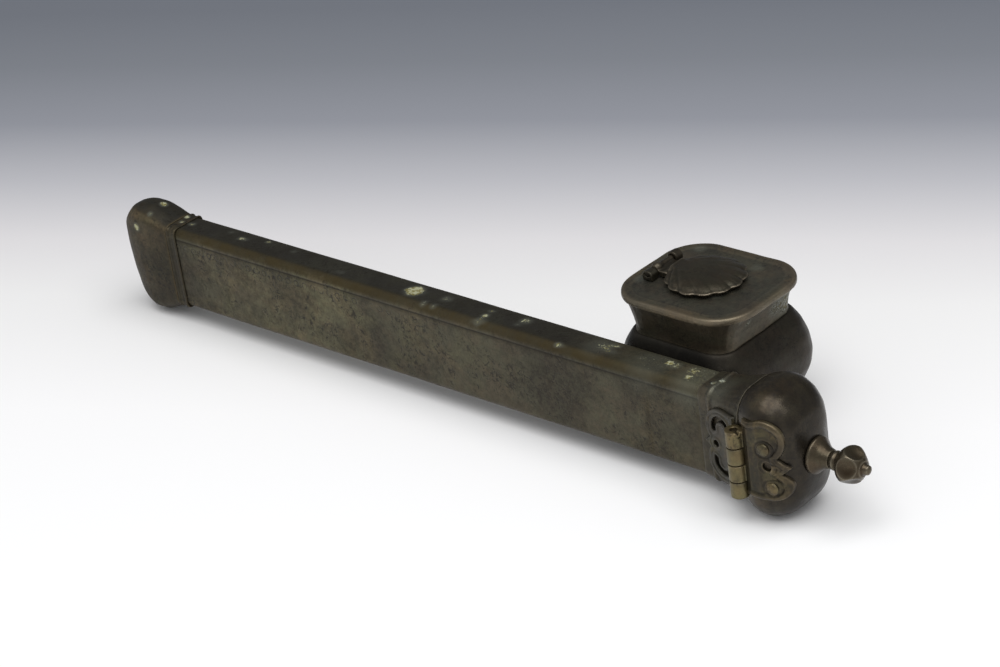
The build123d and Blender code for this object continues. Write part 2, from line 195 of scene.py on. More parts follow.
def make_patina_group():
    """Colours, gloss and grain of old brass, from a piece's own place and wear; its tone also paints light
    and shade.
    """
    group = bpy.data.node_groups.new("old_brass_patina", "ShaderNodeTree")
    face = group.interface
    for name in ("Patina", "Tint", "Grime", "Dark", "Rubbed", "Crust"):
        face.new_socket(name, in_out="INPUT", socket_type="NodeSocketColor")
    for name in ("Wear", "Crusting", "Tone", "Blotch", "Etching", "Dullness", "Polish"):
        face.new_socket(name, in_out="INPUT", socket_type="NodeSocketFloat")
    face.new_socket("Color", in_out="OUTPUT", socket_type="NodeSocketColor")
    face.new_socket("Roughness", in_out="OUTPUT", socket_type="NodeSocketFloat")
    face.new_socket("Height", in_out="OUTPUT", socket_type="NodeSocketFloat")
    warm_hue = (1.06, 0.98, 0.84)
    green_hue = (0.95, 1.0, 0.86)
    verdigris = (0.18, 0.19, 0.155)
    crust_stain = (0.5, 0.44, 0.24)
    source = add_node(group, "NodeGroupInput").outputs
    drain = add_node(group, "NodeGroupOutput").inputs
    place = add_node(group, "ShaderNodeTexCoord").outputs["Object"]

    def noise(scale, detail, rough, distortion=0.0):
        node = add_node(group, "ShaderNodeTexNoise", Scale=scale, Detail=detail, Roughness=rough,
                        Distortion=distortion)
        join(group, place, node.inputs["Vector"])
        return node.outputs["Fac"]

    def spread(value, low, high):
        node = add_node(group, "ShaderNodeMapRange", interpolation_type="SMOOTHSTEP")
        node.inputs["From Min"].default_value = low
        node.inputs["From Max"].default_value = high
        join(group, value, node.inputs["Value"])
        return node.outputs["Result"]

    def feed(socket, value):
        if isinstance(value, float):
            socket.default_value = value
        elif isinstance(value, tuple):
            socket.default_value = (*value, 1)
        elif value is not None:
            join(group, value, socket)

    def combine(kind, first, second=None):
        node = add_node(group, "ShaderNodeMath", operation=kind)
        feed(node.inputs[0], first)
        feed(node.inputs[1], second)
        return node.outputs[0]

    def blend(amount, first, second, kind="MIX"):
        node = add_node(group, "ShaderNodeMix", data_type="RGBA", blend_type=kind)
        feed(node.inputs[mix_share], amount)
        feed(node.inputs[mix_first], first)
        feed(node.inputs[mix_second], second)
        return node.outputs[mix_colour]

    clouds = spread(noise(45.0, 6.0, 0.65), 0.4, 0.62)
    tint_clouds = spread(noise(70.0, 5.0, 0.7, 0.6), 0.42, 0.64)
    hue_clouds = spread(noise(115.0, 5.0, 0.7, 0.5), 0.38, 0.6)
    fog = spread(noise(430.0, 5.0, 0.75), 0.4, 0.62)
    grain = spread(noise(1250.0, 3.0, 0.7), 0.36, 0.64)
    curls = combine("ABSOLUTE", combine("SUBTRACT", noise(400.0, 2.0, 0.55, 0.9), 0.5))
    curl_patch = spread(noise(85.0, 3.0, 0.6), 0.4, 0.58)
    curl_gaps = spread(noise(700.0, 2.0, 0.5), 0.44, 0.56)
    specks = spread(noise(1900.0, 2.0, 0.5), 0.6, 0.72)
    rub_noise = spread(noise(150.0, 5.0, 0.6), 0.3, 0.7)
    crust_noise = noise(1400.0, 5.0, 0.75)
    crust_patches = spread(noise(900.0, 3.0, 0.6), 0.42, 0.6)

    tinting = spread(combine("ADD", combine("MULTIPLY", tint_clouds, 0.5), source["Tone"]), 0.0, 1.0)
    colour = blend(tinting, source["Patina"], source["Tint"])
    hue = blend(hue_clouds, warm_hue, green_hue)
    colour = blend(1.0, colour, hue, "MULTIPLY")
    # A negative tone blends towards the grime colour: painted shade on most pieces, a slight darkening on the
    # plate's flat.
    shade_and_grime = combine("MAXIMUM", combine("MULTIPLY", source["Tone"], -1.0), 0.0)
    colour = blend(combine("MULTIPLY", shade_and_grime, combine("SUBTRACT", 1.1, combine("MULTIPLY", hue_clouds, 0.35))),
                   colour, source["Grime"])
    shade = combine("ADD", combine("MULTIPLY", clouds, 0.5), combine("MULTIPLY", fog, 0.3))
    shade = combine("ADD", shade, combine("MULTIPLY", grain, 0.2))
    shade = combine("MULTIPLY", shade, source["Blotch"])
    colour = blend(shade, colour, source["Dark"])
    marks = combine("MULTIPLY", combine("MULTIPLY", spread(curls, 0.07, 0.02), curl_patch), curl_gaps)
    marks = combine("MAXIMUM", marks, combine("MULTIPLY", specks, 0.6))
    marks = combine("MULTIPLY", marks, source["Etching"])
    colour = blend(marks, colour, source["Dark"])
    wear_up = combine("MAXIMUM", source["Wear"], 0.0)
    rub = combine("MULTIPLY", wear_up, combine("ADD", combine("MULTIPLY", rub_noise, 0.5), 0.5))
    colour = blend(rub, colour, source["Rubbed"])
    hollow = combine("MAXIMUM", combine("MULTIPLY", source["Wear"], -1.0), 0.0)
    colour = blend(hollow, colour, source["Dark"])
    haze = combine("MULTIPLY", spread(source["Crusting"], 0.0, 0.6), 0.45)
    colour = blend(haze, colour, verdigris)
    crust = spread(combine("ADD", source["Crusting"], combine("MULTIPLY", crust_noise, 1.2)), 1.06, 1.24)
    crust_colour = blend(crust_patches, source["Crust"], crust_stain, "MULTIPLY")
    colour = blend(crust, colour, crust_colour)
    gloss = combine("ADD", source["Dullness"], combine("MULTIPLY", shade, 0.14))
    gloss = combine("ADD", gloss, combine("MULTIPLY", combine("SUBTRACT", tint_clouds, 0.5), 0.08))
    gloss = combine("ADD", gloss, combine("MULTIPLY", hollow, 0.2))
    gloss = combine("ADD", gloss, combine("MULTIPLY", crust, 0.4))
    gloss = combine("SUBTRACT", gloss, combine("MULTIPLY", rub, source["Polish"]))
    height = combine("ADD", combine("MULTIPLY", marks, -0.6), combine("MULTIPLY", crust, 2.5))
    height = combine("ADD", height, combine("MULTIPLY", fog, 0.25))
    join(group, colour, drain["Color"])
    join(group, gloss, drain["Roughness"])
    join(group, height, drain["Height"])
    return group


patina_group = make_patina_group()


def old_brass(name, metal, relief, **looks):
    """A brass finish; looks are the patina group's inputs."""
    material = bpy.data.materials.new(name)
    material.use_nodes = True
    tree = material.node_tree
    shader = tree.nodes["Principled BSDF"]
    shader.inputs["Metallic"].default_value = metal
    patina = add_node(tree, "ShaderNodeGroup")
    patina.node_tree = patina_group
    patina.inputs["Polish"].default_value = 0.1
    patina.inputs["Grime"].default_value = (0.02, 0.021, 0.02, 1)
    for key, value in looks.items():
        patina.inputs[key].default_value = (*value, 1) if isinstance(value, tuple) else value
    for layer, socket in (("wear", "Wear"), ("crust", "Crusting"), ("tone", "Tone")):
        attribute = add_node(tree, "ShaderNodeAttribute", attribute_name=layer)
        join(tree, attribute.outputs["Fac"], patina.inputs[socket])
    bump = add_node(tree, "ShaderNodeBump", Distance=relief)
    join(tree, patina.outputs["Color"], shader.inputs["Base Color"])
    join(tree, patina.outputs["Roughness"], shader.inputs["Roughness"])
    join(tree, patina.outputs["Height"], bump.inputs["Height"])
    join(tree, bump.outputs["Normal"], shader.inputs["Normal"])
    return material


def only(piece):
    """Makes a piece the one that the next operators act on."""
    bpy.ops.object.select_all(action="DESELECT")
    piece.select_set(True)
    bpy.context.view_layer.objects.active = piece


def pick(piece, kind, test):
    """In edit mode, selects the points, edges or faces that pass a test."""
    bpy.ops.mesh.select_mode(type=kind)
    bpy.ops.mesh.select_all(action="DESELECT")
    form = bmesh.from_edit_mesh(piece.data)
    for part in {"VERT": form.verts, "EDGE": form.edges, "FACE": form.faces}[kind]:
        if test(part):
            part.select_set(True)
    bmesh.update_edit_mesh(piece.data)


def run_of(edge):
    """An edge from end to end."""
    return edge.verts[1].co - edge.verts[0].co


def read_points(piece, what="co"):
    """The places or the normals of a piece's points, one row for each."""
    flat = np.empty(len(piece.data.vertices) * 3, dtype=np.float32)
    piece.data.vertices.foreach_get(what, flat)
    return flat.reshape(-1, 3).astype(float)


def move_points(piece, points):
    """Puts a piece's points in new places."""
    piece.data.vertices.foreach_set("co", points.astype(np.float32).ravel())
    piece.data.update()


def keep_layer(piece, name, values):
    """Stores one number for each point, which the finish reads by its name."""
    layer = piece.data.attributes.get(name) or piece.data.attributes.new(name, "FLOAT", "POINT")
    layer.data.foreach_set("value", np.clip(values, -1, 1).astype(np.float32))


def crust_over(piece, spots):
    """Pale crusts on the surface that the camera sees at each spot.

    A spot is its pixel across and down in the photograph, its radius and its strength.
    """
    points = read_points(piece)
    crust = np.zeros(len(points))
    for u, v, radius, strength in spots:
        hit, where, _, _ = piece.ray_cast(eye, sight(u, v))
        if hit:
            away_by = np.linalg.norm(points - np.array(where), axis=1)
            crust = np.maximum(crust, strength * np.clip(1.5 - away_by / radius, 0, 1))
    keep_layer(piece, "crust", crust)


def rub_down(piece, rounds, group=""):
    """Rubs a piece smoother, all of it or as much as a vertex group says."""
    only(piece)
    rub = piece.modifiers.new("rub", "SMOOTH")
    rub.factor = 0.5
    rub.iterations = rounds
    rub.vertex_group = group
    bpy.ops.object.modifier_apply(modifier="rub")


def dent(piece, depth, width):
    """Slight unevenness of hammered or cast metal."""
    field = bpy.data.textures.new("dents_" + piece.name, "CLOUDS")
    field.noise_scale = width
    field.noise_depth = 1
    only(piece)
    shift = piece.modifiers.new("dents", "DISPLACE")
    shift.texture = field
    shift.strength = depth
    shift.mid_level = 0.5
    bpy.ops.object.modifier_apply(modifier="dents")


def finish_piece(piece, body, material):
    """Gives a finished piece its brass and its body."""
    piece.data.materials.clear()
    piece.data.materials.append(material)
    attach(piece, body)


mouth_x = 0.0229
barrel_edge = 0.0027
edge_facets = 8
barrel_wall = 0.0012
scribe_inset = 0.0033
scribe_width = 0.00038
scribe_depth = 0.0001
mouth_scribes = (mouth_x - 0.0185, mouth_x - 0.0004)
side_cuts = 22
gap_cuts = 9
length_cuts = 380
mouth_cuts = 20
flat_length = 0.01
gap_length = 0.003
long_run = 0.1
mouth_run = 0.008
barrel_low, barrel_high = (Vector(corner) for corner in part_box("barrel"))
barrel_middle = (barrel_low + barrel_high) / 2
scribe_z = barrel_high.z - scribe_inset


def goes_across(edge, least):
    """An edge square to the tube's length and longer than a limit."""
    return abs(run_of(edge).x) < 1e-6 and run_of(edge).length > least


def goes_along(edge, least):
    """An edge that covers more of the tube's length than a limit."""
    return abs(run_of(edge).x) > least


bpy.ops.object.select_all(action="DESELECT")
bpy.ops.mesh.primitive_cube_add(size=1.0, location=barrel_middle)
barrel = bpy.context.object
barrel.name = "barrel_tube"
barrel.scale = barrel_high - barrel_low
bpy.ops.object.transform_apply(location=True, rotation=False, scale=True)
bpy.ops.object.mode_set(mode="EDIT")
pick(barrel, "EDGE", lambda edge: goes_along(edge, long_run))
bpy.ops.mesh.bevel(offset=barrel_edge, segments=edge_facets, affect="EDGES")
pick(barrel, "FACE", lambda face: abs(face.normal.x) > 0.9)
bpy.ops.mesh.delete(type="ONLY_FACE")
for side in (-1, 0, 1):
    bpy.ops.mesh.select_all(action="SELECT")
    bpy.ops.mesh.bisect(plane_co=(0, 0, scribe_z + side * scribe_width), plane_no=(0, 0, 1))
for length in mouth_scribes:
    for side in (-1, 0, 1):
        bpy.ops.mesh.select_all(action="SELECT")
        bpy.ops.mesh.bisect(plane_co=(length + side * scribe_width, 0, 0), plane_no=(1, 0, 0))
pick(barrel, "EDGE", lambda edge: goes_across(edge, flat_length))
bpy.ops.mesh.subdivide(number_cuts=side_cuts)
pick(barrel, "EDGE", lambda edge: goes_across(edge, gap_length))
bpy.ops.mesh.subdivide(number_cuts=gap_cuts)
pick(barrel, "EDGE", lambda edge: goes_along(edge, long_run))
bpy.ops.mesh.subdivide(number_cuts=length_cuts)
pick(barrel, "EDGE", lambda edge: goes_along(edge, mouth_run))
bpy.ops.mesh.subdivide(number_cuts=mouth_cuts)
pick(barrel, "EDGE", lambda edge: edge.is_boundary)
bpy.ops.mesh.extrude_edges_move()
barrel_size = barrel_high - barrel_low
shrink = [1, 1 - 2 * barrel_wall / barrel_size.y, 1 - 2 * barrel_wall / barrel_size.z]
bpy.ops.transform.resize(value=shrink, center_override=barrel_middle)
bpy.ops.mesh.bridge_edge_loops()
bpy.ops.mesh.select_all(action="SELECT")
bpy.ops.mesh.normals_make_consistent(inside=False)
bpy.ops.object.mode_set(mode="OBJECT")
normals = read_points(barrel, "normal")
points = read_points(barrel)
inner = ((points - barrel_middle)[:, 1:] * normals[:, 1:]).sum(1) < 0
front_tolerance = 0.0001
front = points[:, 1] < barrel_low.y + front_tolerance
groove = np.exp(-((points[:, 2] - scribe_z) / scribe_width) ** 2) * front
bright_line = np.zeros(len(points))
for length in mouth_scribes:
    bright_line = np.maximum(bright_line, np.exp(-((points[:, 0] - length) / scribe_width) ** 2) * front)
points -= normals * ((groove + 0.6 * bright_line) * scribe_depth)[:, None]
move_points(barrel, points)
lesser_edges = 0.45
inside_dark = -0.6
handled = np.clip(2.6 * np.abs(normals[:, 1] * normals[:, 2]), 0, 1)
handled *= np.where((normals[:, 2] > 0) & (normals[:, 1] < 0), 1.0, lesser_edges)
handled = np.maximum(handled, 0.4 * bright_line) - 0.95 * groove
keep_layer(barrel, "wear", np.where(inner, inside_dark, handled))
dent(barrel, depth=0.00022, width=0.035)
# Tone: the front is lighter in a band a quarter of the way from the foot, and the tops carry painted shade
# that turns paler towards the mouth.
khaki_x = -0.135
khaki_spread = 0.035
top_shade_end_x = -0.03
khaki = 0.8 * np.exp(-((points[:, 0] - khaki_x) / khaki_spread) ** 2) - 0.1
top_shade = np.clip((points[:, 0] - top_shade_end_x) / 0.028, 0, 1) * 1.15 - 0.7
upward = np.clip((normals[:, 2] - 0.6) / 0.35, 0, 1)
keep_layer(barrel, "tone", khaki + (top_shade - khaki) * upward)
large_crust = ((415, 291, 0.0029, 0.95), (410, 290, 0.0016, 0.8), (421, 291, 0.0014, 0.75))
middle_crusts = ((424, 303, 0.0014, 0.5), (434, 306, 0.0012, 0.5), (447, 299, 0.0018, 0.5),
                 (486, 316, 0.0013, 0.8), (481, 320, 0.0016, 0.55), (491, 311, 0.0008, 0.75),
                 (476, 322, 0.0014, 0.5), (526, 321, 0.0019, 0.58), (519, 325, 0.0012, 0.45),
                 (560, 345, 0.0011, 0.85))
mouth_crusts = ((606, 347, 0.0026, 0.55), (619, 347, 0.0009, 0.95), (612, 352, 0.0014, 0.5),
                (642, 358, 0.0012, 0.45), (670, 363, 0.0014, 0.8), (676, 366, 0.0022, 0.52),
                (688, 377, 0.0013, 0.75), (694, 371, 0.0024, 0.55))
foot_end_crusts = ((187, 217, 0.0013, 0.75), (191, 224, 0.0012, 0.75), (243, 239, 0.0012, 0.9),
                   (268, 242, 0.0008, 0.7), (230, 232, 0.001, 0.5), (295, 252, 0.001, 0.5),
                   (340, 272, 0.0012, 0.45))
verdigris_haze = ((700, 376, 0.008, 0.4), (655, 362, 0.008, 0.36), (600, 346, 0.005, 0.34))
crust_over(barrel, (*large_crust, *middle_crusts, *mouth_crusts, *foot_end_crusts, *verdigris_haze))
bpy.ops.object.shade_smooth_by_angle(angle=math.radians(50))
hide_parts("barrel")
barrel_brass = old_brass("barrel_brass", metal=0.72, relief=0.00006, Patina=(0.081, 0.071, 0.049),
                         Tint=(0.137, 0.121, 0.075), Grime=(0.029, 0.03, 0.027), Dark=(0.024, 0.02, 0.013),
                         Rubbed=(0.053, 0.039, 0.014), Crust=(0.5, 0.5, 0.34), Blotch=0.88, Etching=0.9,
                         Dullness=0.42, Polish=-0.16)


def engrave_rings(material, spacing, height, radius, width, fade_from, fade_to):
    """Adds a worn row of engraved rings to the front, darker and a little deeper."""
    line_colour = (0.022, 0.02, 0.016, 1)
    tree = material.node_tree
    shader = tree.nodes["Principled BSDF"]
    place = add_node(tree, "ShaderNodeTexCoord").outputs["Object"]
    parts = add_node(tree, "ShaderNodeSeparateXYZ")
    join(tree, place, parts.inputs[0])

    def reckon(kind, first, second=None):
        node = add_node(tree, "ShaderNodeMath", operation=kind)
        for index, value in enumerate((first, second)):
            if isinstance(value, float):
                node.inputs[index].default_value = value
            elif value is not None:
                join(tree, value, node.inputs[index])
        return node.outputs[0]

    def fade(value, start, end):
        node = add_node(tree, "ShaderNodeMapRange", interpolation_type="SMOOTHSTEP")
        node.inputs["From Min"].default_value = start
        node.inputs["From Max"].default_value = end
        join(tree, value, node.inputs["Value"])
        return node.outputs["Result"]

    cell = reckon("FRACT", reckon("DIVIDE", parts.outputs["X"], spacing))
    across = reckon("MULTIPLY", reckon("SUBTRACT", cell, 0.5), spacing)
    above = reckon("SUBTRACT", parts.outputs["Z"], height)
    from_middle = reckon("SQRT", reckon("ADD", reckon("POWER", across, 2.0), reckon("POWER", above, 2.0)))
    line = reckon("ABSOLUTE", reckon("SUBTRACT", from_middle, radius))
    ring = fade(line, width, width * 0.3)
    worn = add_node(tree, "ShaderNodeTexNoise", Scale=330.0, Detail=3.0, Roughness=0.6)
    join(tree, place, worn.inputs["Vector"])
    ring = reckon("MULTIPLY", ring, fade(worn.outputs["Fac"], 0.42, 0.56))
    ring = reckon("MULTIPLY", ring, fade(parts.outputs["X"], fade_to, fade_from))
    ring = reckon("MULTIPLY", ring, fade(parts.outputs["Y"], barrel_middle.y, barrel_middle.y - 0.001))
    coloured = shader.inputs["Base Color"].links[0].from_socket
    darker = add_node(tree, "ShaderNodeMix", data_type="RGBA")
    darker.inputs[mix_second].default_value = line_colour
    join(tree, reckon("MULTIPLY", ring, 0.75), darker.inputs[mix_share])
    join(tree, coloured, darker.inputs[mix_first])
    join(tree, darker.outputs[mix_colour], shader.inputs["Base Color"])
    bump = tree.nodes["Bump"]
    relief = bump.inputs["Height"].links[0].from_socket
    join(tree, reckon("SUBTRACT", relief, ring), bump.inputs["Height"])


engrave_rings(barrel_brass, spacing=0.0036, height=scribe_z - 0.0023, radius=0.00095, width=0.00028,
              fade_from=-0.12, fade_to=-0.05)
finish_piece(barrel, "case", barrel_brass)


# Foot and its moulding
# A cast shell closes the far end of the tube. A moulding of two filed ribs with a band
# between them covers the joint; it is soldered on and its ribs are rubbed pale.
def worn_copy(node, grain, rounds, rub_share=None):
    """A copy of a CAD node as an old casting, its steps and edges rubbed round.

    rub_share says for each point how much of the rubbing reaches it.
    """
    piece = bpy.data.objects.new("worn_" + node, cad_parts[node].data.copy())
    bpy.context.scene.collection.objects.link(piece)
    only(piece)
    bpy.ops.object.mode_set(mode="EDIT")
    bpy.ops.mesh.select_all(action="SELECT")
    bpy.ops.mesh.remove_doubles(threshold=0.000001)
    bpy.ops.object.mode_set(mode="OBJECT")
    recast = piece.modifiers.new("recast", "REMESH")
    recast.mode = "VOXEL"
    recast.voxel_size = grain
    bpy.ops.object.modifier_apply(modifier="recast")
    group = ""
    if rub_share:
        group = "soft"
        soft = piece.vertex_groups.new(name=group)
        levels = np.round(rub_share(read_points(piece)) * 10)
        for level, share in enumerate(np.linspace(0.1, 1.0, 10)):
            level_points = np.nonzero(levels == level + 1)[0]
            soft.add(level_points.tolist(), float(share), "REPLACE")
    rub_down(piece, rounds, group)
    bpy.ops.object.shade_smooth()
    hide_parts(node)
    return piece


def mark_wear(piece, rounds, strength, rise=1.0):
    """Finds ridges and hollows by smoothing once more, and keeps them as the wear layer.

    The points go back to their places. rise scales the ridges alone.
    """
    before = read_points(piece)
    normals = read_points(piece, "normal")
    rub_down(piece, rounds)
    lost = ((before - read_points(piece)) * normals).sum(1) * strength
    move_points(piece, before)
    keep_layer(piece, "wear", np.where(lost > 0, lost * rise, lost))


foot_start = -0.1939
foot_length = 0.023
foot_lean = 0.09
corner_loss = 0.1
foot_ease = 0.002
foot_end_gap = 0.00012
foot_low, foot_high = (Vector(corner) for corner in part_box("foot_bulb"))
foot_bulb = worn_copy("foot_bulb", grain=0.00032, rounds=60,
                      rub_share=lambda at: np.clip((foot_start - at[:, 0]) / foot_ease, 0, 1))
points = read_points(foot_bulb)
share = np.clip((foot_start - points[:, 0]) / foot_length, 0, 1)
points[:, 0] += share * foot_lean * (points[:, 2].max() - points[:, 2])
across = np.abs(points[:, 1] - barrel_middle.y) / (foot_high.y - foot_low.y)
upright = np.abs(points[:, 2] - barrel_middle.z) / (foot_high.z - foot_low.z)
corner = (2 * across * upright / (across ** 2 + upright ** 2)) ** 4
shrink = 1 - corner_loss * corner * np.sqrt(share)
points[:, 1] = barrel_middle.y + (points[:, 1] - barrel_middle.y) * shrink
points[:, 2] = barrel_middle.z + (points[:, 2] - barrel_middle.z) * shrink
stretch = (foot_start - foot_low.x - foot_end_gap) / (foot_start - points[:, 0].min())
stretched = foot_start + (points[:, 0] - foot_start) * stretch
points[:, 0] = np.where(share > 0, stretched, points[:, 0])
points[:, 2] = np.maximum(points[:, 2], foot_low.z)
move_points(foot_bulb, points)
dent(foot_bulb, depth=0.0002, width=0.012)
mark_wear(foot_bulb, rounds=30, strength=6000.0)
foot_crusts = ((164, 204, 0.0014, 0.75), (136.5, 227, 0.0013, 0.8), (150, 214, 0.001, 0.45))
crust_over(foot_bulb, foot_crusts)
# Tone: a painted highlight along the rounded top front edge, and painted shade on the tops.
highlight_tilt = 0.64
top_shade_tilt = 0.72
tilt_spread = 0.2
normals = read_points(foot_bulb, "normal")
edge_highlight = np.exp(-((normals[:, 2] - highlight_tilt) / tilt_spread) ** 2) * np.clip(-2 * normals[:, 1], 0, 1)
shade_and_grime = 0.9 * np.clip((normals[:, 2] - top_shade_tilt) / tilt_spread, 0, 1)
keep_layer(foot_bulb, "tone", 0.9 * edge_highlight - shade_and_grime)
foot_brass = old_brass("foot_brass", metal=0.72, relief=0.00006, Patina=(0.058, 0.047, 0.031),
                       Tint=(0.13, 0.104, 0.068), Grime=(0.026, 0.027, 0.025), Dark=(0.02, 0.018, 0.013),
                       Rubbed=(0.09, 0.068, 0.034), Crust=(0.5, 0.5, 0.34), Blotch=0.85, Etching=0.9,
                       Dullness=0.5)
finish_piece(foot_bulb, "case", foot_brass)
worn_off = 0.5
foot_moulding = worn_copy("foot_moulding", grain=0.0002, rounds=6)
points = read_points(foot_moulding)
for axis in (1, 2):
    off = points[:, axis] - barrel_middle[axis]
    proud = np.maximum(np.abs(off) - barrel_size[axis] / 2, 0)
    points[:, axis] -= np.sign(off) * proud * worn_off
move_points(foot_moulding, points)
mark_wear(foot_moulding, rounds=10, strength=9000.0)
moulding_crusts = ((187, 217, 0.0011, 0.68), (191, 224, 0.001, 0.7), (182, 222, 0.001, 0.55))
crust_over(foot_moulding, moulding_crusts)
finish_piece(foot_moulding, "case", foot_brass)

# Mouth collar and lip
# A flaring band of thick sheet is soldered round the tube's mouth, with a low rib across
# it near the tube. The lip inside is a thinner sleeve that guides the cap.
seam_x = 0.0396
seam_ease = 0.001
mouth_collar = worn_copy("mouth_collar", grain=0.00026, rounds=7,
                         rub_share=lambda at: np.clip((seam_x - at[:, 0]) / seam_ease, 0, 1))
dent(mouth_collar, depth=0.00015, width=0.01)
mark_wear(mouth_collar, rounds=14, strength=7000.0)
collar_crusts = ((714, 383, 0.0012, 0.6), (722, 381, 0.0014, 0.6), (706, 381, 0.002, 0.55),
                 (722, 386, 0.005, 0.36))
crust_over(mouth_collar, collar_crusts)
collar_brass = old_brass("collar_brass", metal=0.72, relief=0.00006, Patina=(0.068, 0.057, 0.041),
                         Tint=(0.085, 0.075, 0.055), Dark=(0.02, 0.018, 0.014), Rubbed=(0.14, 0.122, 0.09),
                         Crust=(0.42, 0.44, 0.36), Blotch=0.8, Etching=0.8, Dullness=0.42)
finish_piece(mouth_collar, "case", collar_brass)
mouth_lip = worn_copy("mouth_lip", grain=0.0004, rounds=2)
finish_piece(mouth_lip, "case", collar_brass)

# Cap
# A bulging dome, cast in one piece, closes the mouth. It is the piece that hands touch
# most, so it is smooth and a little glossier than the tube.
cap_start = 0.0399
cap_ease = 0.0018
band_tilt = 0.42
band_spread = 0.22
cap = worn_copy("cap", grain=0.0004, rounds=30,
                rub_share=lambda at: np.clip((at[:, 0] - cap_start) / cap_ease, 0, 1))
dent(cap, depth=0.00025, width=0.012)
mark_wear(cap, rounds=20, strength=3500.0, rise=0.6)
# Tone: the cap's end and a band on its front below the top are painted darker, as painted shade and painted
# reflection.
normals = read_points(cap, "normal")
end_shade = 0.75 * np.clip(normals[:, 0] * 1.4, 0, 1)
band = np.exp(-((normals[:, 2] - band_tilt) / band_spread) ** 2)
band_shade = 0.8 * band * np.clip(-1.3 * normals[:, 1], 0, 1)
keep_layer(cap, "tone", -np.maximum(end_shade, band_shade))
cap_brass = old_brass("cap_brass", metal=0.75, relief=0.00005, Patina=(0.077, 0.06, 0.042),
                      Tint=(0.08, 0.058, 0.032), Grime=(0.02, 0.017, 0.012), Dark=(0.014, 0.012, 0.01),
                      Rubbed=(0.13, 0.11, 0.082), Crust=(0.42, 0.42, 0.3), Blotch=0.95, Etching=0.6,
                      Dullness=0.27)
finish_piece(cap, "cap", cap_brass)

# Cap hinge
# Two leaves of thick brass sheet end in lobes with a barbed point between them. The
# cap's leaf is riveted on twice; its edge is hammered up into a thick bright rim.
leaf_face_y = -0.04343
hinge_x = 0.0399
hinge_y = -0.0428
hinge_z = 0.01871
knuckle_radius = 0.0026
knuckle_top = 0.02916
knuckles_reach = 0.0032
rivet_places = ((0.0096, 0.0068), (0.0112, -0.0052))
eye_place = (0.0103, 0.0015)
flat_radius = 0.0016
lobe_start = 0.0025
lobe_heading = math.radians(28)


def raise_rim(leaf, height, width):
    """Hammers the edge of a leaf's front up into a rounded rim, away from knuckles and rivets."""
    side_facing = 0.45
    points = read_points(leaf)
    normals = read_points(leaf, "normal")
    clear = np.abs(points[:, 0] - hinge_x) > knuckles_reach
    edge = clear & (np.abs(normals[:, 1]) < side_facing)
    for x, z in (*rivet_places, eye_place):
        edge &= np.hypot(points[:, 0] - hinge_x - x, points[:, 2] - hinge_z - z) > flat_radius
    walls = np.nonzero(edge)[0]
    nearest_wall = kdtree.KDTree(len(walls))
    for index, wall in enumerate(walls):
        nearest_wall.insert((points[wall, 0], 0, points[wall, 2]), index)
    nearest_wall.balance()
    fronts = np.nonzero(clear & (normals[:, 1] < -side_facing))[0]
    for one in fronts:
        inset = nearest_wall.find((points[one, 0], 0, points[one, 2]))[2]
        if inset < width:
            arc = math.pi * (0.12 + 0.88 * inset / width)
            points[one, 1] -= height * math.sin(arc) ** 1.2
    move_points(leaf, points)


def swell_lobe(leaf, place, heading, growth):
    """Hammers a lobe out round its rivet, most in one direction."""
    points = read_points(leaf)
    across = points[:, 0] - hinge_x - place[0]
    upright = points[:, 2] - hinge_z - place[1]
    reach = np.hypot(across, upright)
    facing = np.clip(np.cos(np.arctan2(upright, across) - heading), 0, 1)
    swell = growth * facing * np.clip((reach - lobe_start) / 0.003, 0, 1)
    points[:, 0] += across * swell
    points[:, 2] += upright * swell
    move_points(leaf, points)


def sink_rings(leaf):
    """Round each rivet the hammer has left a shallow ring; the eye is worn wide."""
    ring_radius = 0.0025
    ring_width = 0.0004
    ring_depth = 0.00022
    eye_reach = 0.0026
    eye_growth = 0.4
    points = read_points(leaf)
    normals = read_points(leaf, "normal")
    across = points[:, 0] - hinge_x - eye_place[0]
    upright = points[:, 2] - hinge_z - eye_place[1]
    widened = eye_growth * np.clip((eye_reach - np.hypot(across, upright)) / 0.0012, 0, 1)
    points[:, 0] += across * widened
    points[:, 2] += upright * widened
    for x, z in rivet_places:
        reach = np.hypot(points[:, 0] - hinge_x - x, points[:, 2] - hinge_z - z)
        ring = np.exp(-((reach - ring_radius) / ring_width) ** 2)
        points[:, 1] += ring_depth * ring * (normals[:, 1] < -0.5)
    move_points(leaf, points)


def open_curl(leaf):
    """The top knuckle is a rolled strip; its end shows as a slit across the top."""
    slit_turn = -25
    slit_width = 11
    slit_depth = 0.0008
    slit_zone = 0.0012
    points = read_points(leaf)
    across = points[:, 0] - hinge_x
    deep = points[:, 1] - hinge_y
    reach = np.hypot(across, deep)
    turn = np.degrees(np.arctan2(deep, across))
    on_top = (points[:, 2] > knuckle_top - slit_zone) & (reach < knuckle_radius + 0.0003)
    slit = slit_depth * np.exp(-((turn - slit_turn) / slit_width) ** 2)
    points[:, 2] -= np.where(on_top, slit, 0)
    move_points(leaf, points)


def tone_knuckles(leaf):
    """The knuckles are rubbed to a paler, yellower brass than the leaf."""
    edge_width = 0.0004
    points = read_points(leaf)
    from_pin = np.hypot(points[:, 0] - hinge_x, points[:, 1] - hinge_y)
    keep_layer(leaf, "tone", np.clip((knuckle_radius + edge_width - from_pin) / edge_width, 0, 1))


